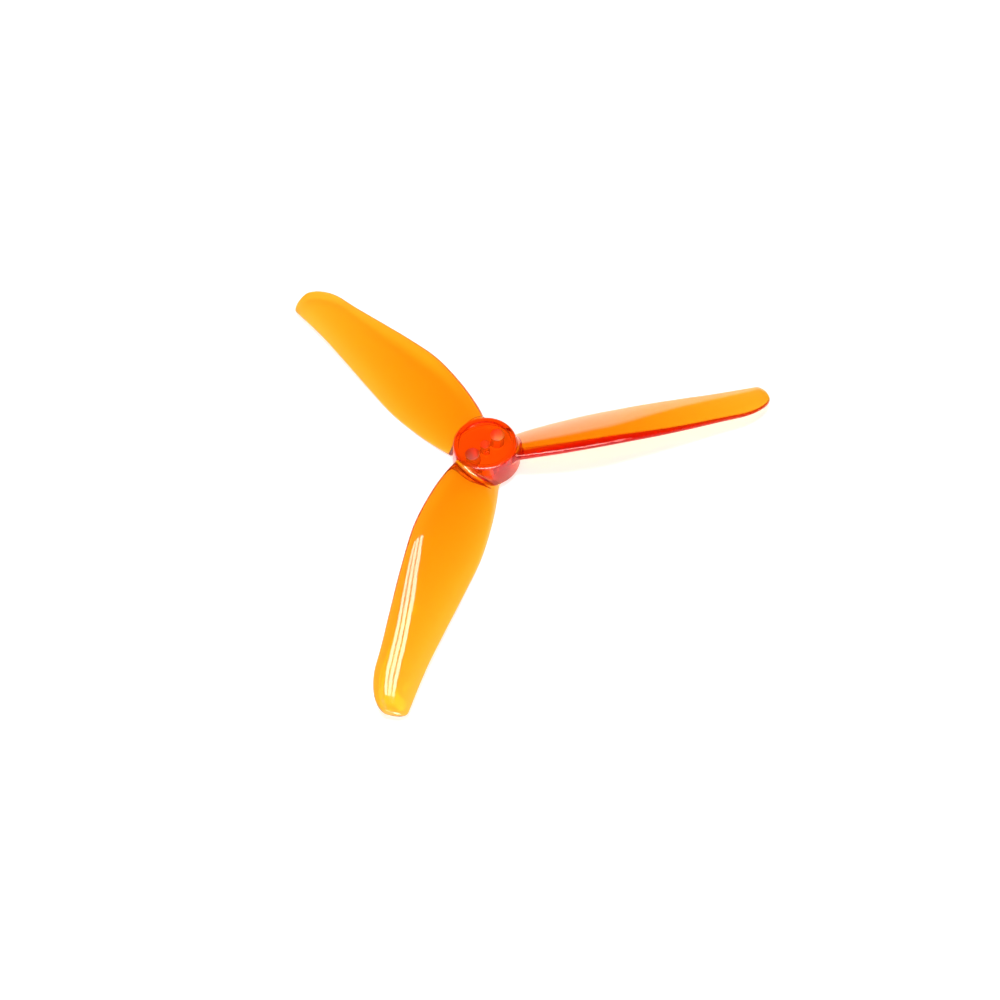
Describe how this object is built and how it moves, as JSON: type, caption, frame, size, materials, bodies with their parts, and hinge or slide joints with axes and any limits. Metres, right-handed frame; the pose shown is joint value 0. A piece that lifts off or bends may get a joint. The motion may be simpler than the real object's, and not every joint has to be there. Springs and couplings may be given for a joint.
{
  "type": "propeller",
  "caption": "Small multirotor propeller in clear orange plastic, with broad twisted blades and a round hub that seats on a motor and takes its shaft and screws.",
  "frame": {"origin": "centre of the hub's underside, on the spin axis, where the face that sits on the motor meets the middle of the shaft", "axes": "+Z along the spin axis, out of the hub's recessed top and away from the motor; +X along blade_1; blade_2 and blade_3 follow at 120 and 240 degrees about +Z; seen from +Z it turns clockwise, with each leading edge on the clockwise side"},
  "size_m": [0.0686, 0.0778, 0.0059],
  "materials": {
    "clear_orange_plastic": "glossy"
  },
  "bodies": {
    "root": {"hub": "clear_orange_plastic", "blade_1": "clear_orange_plastic", "blade_2": "clear_orange_plastic", "blade_3": "clear_orange_plastic"}
  },
  "joints": []
}
